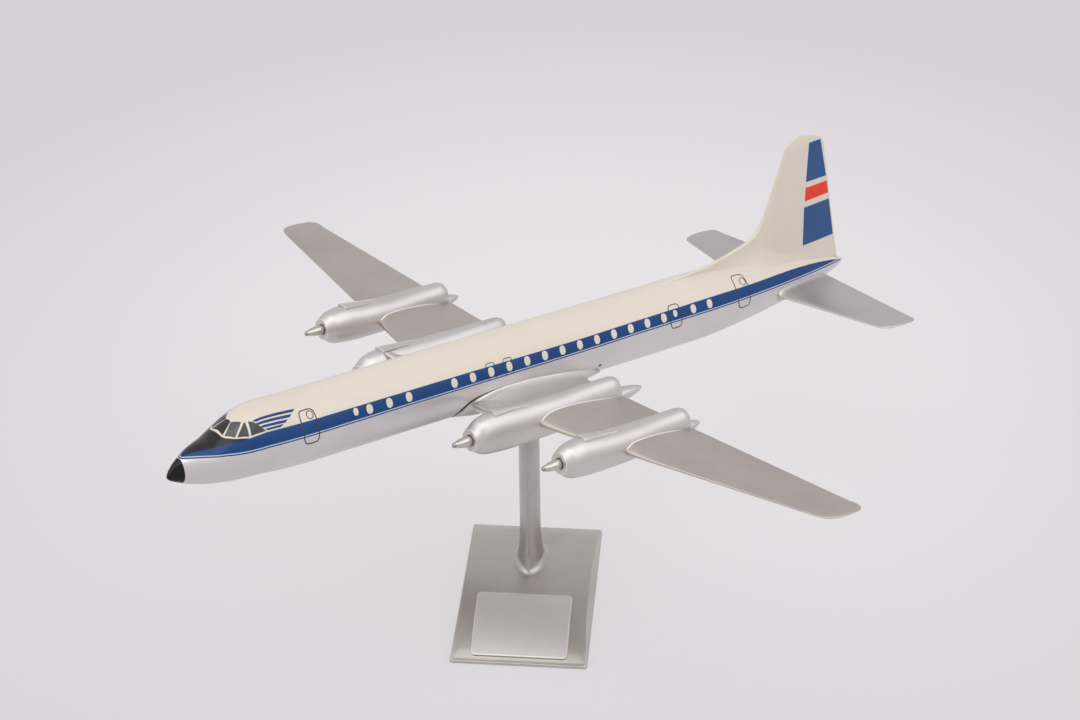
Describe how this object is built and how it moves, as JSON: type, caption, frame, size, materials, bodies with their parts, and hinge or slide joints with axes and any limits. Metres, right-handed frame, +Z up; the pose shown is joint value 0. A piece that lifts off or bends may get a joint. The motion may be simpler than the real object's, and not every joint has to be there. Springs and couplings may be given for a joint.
{
  "type": "model airplane",
  "caption": "Desk model of a four-engined low-wing airliner with a tall single fin, swivelling on a slim post above a curved cast metal base with a plate.",
  "frame": {"origin": "on the table, under the centre of the seat where the post carries the model", "axes": "+Z up from the table; -Y out of the front of the stand, the side with the plate; +X to the right as seen from the front. The aircraft's nose points left and towards the front, 45 degrees off the stand's centre line."},
  "size_m": [0.3656, 0.3596, 0.1978],
  "materials": {
    "stand_metal": "cast and polished",
    "plate_metal": "satin sheet",
    "washer_fibre": "vulcanised fibre",
    "screw_steel": "turned",
    "bush_brass": "turned",
    "wing_metal": "cast, ground and polished",
    "body_paint": "gloss enamel in several colours over cast aluminium",
    "cap_black": "gloss enamel",
    "tail_metal": "cast, ground and polished",
    "spinner_metal": "turned"
  },
  "bodies": {
    "stand": {"stand_casting": "stand_metal", "name_plate": "plate_metal", "fibre_washer": "washer_fibre", "pivot_screw": "screw_steel", "thrust_washer": "screw_steel"},
    "aircraft": {"pivot_bush": "bush_brass", "wing_casting": "wing_metal", "wing_screws": "screw_steel", "fuselage_casting": "body_paint", "nose_cap": "cap_black", "left_tailplane": "tail_metal", "right_tailplane": "tail_metal", "tailplane_dowels": "screw_steel", "nacelle_bush_1": "bush_brass", "nacelle_bush_2": "bush_brass", "nacelle_bush_3": "bush_brass", "nacelle_bush_4": "bush_brass"},
    "spinner_body_1": {"spinner_pin_1": "screw_steel", "spinner_1": "spinner_metal"},
    "spinner_body_2": {"spinner_pin_2": "screw_steel", "spinner_2": "spinner_metal"},
    "spinner_body_3": {"spinner_pin_3": "screw_steel", "spinner_3": "spinner_metal"},
    "spinner_body_4": {"spinner_pin_4": "screw_steel", "spinner_4": "spinner_metal"}
  },
  "joints": [
    {"name": "model_swivel", "type": "hinge", "parent": "stand", "child": "aircraft", "pos_m": [0, 0, 0.125], "axis": [0, 0.1392, 0.9903], "continuous": true},
    {"name": "spinner_spin_1", "type": "hinge", "parent": "aircraft", "child": "spinner_body_1", "pos_m": [-0.0205, -0.08398, 0.15235], "axis": [0.7061, 0.692, -0.1501], "continuous": true},
    {"name": "spinner_spin_2", "type": "hinge", "parent": "aircraft", "child": "spinner_body_2", "pos_m": [0.02667, -0.11028, 0.15975], "axis": [0.7061, 0.692, -0.1501], "continuous": true},
    {"name": "spinner_spin_3", "type": "hinge", "parent": "aircraft", "child": "spinner_body_3", "pos_m": [-0.08697, -0.01816, 0.1431], "axis": [0.7061, 0.692, -0.1501], "continuous": true},
    {"name": "spinner_spin_4", "type": "hinge", "parent": "aircraft", "child": "spinner_body_4", "pos_m": [-0.11405, 0.02906, 0.14016], "axis": [0.7061, 0.692, -0.1501], "continuous": true}
  ]
}
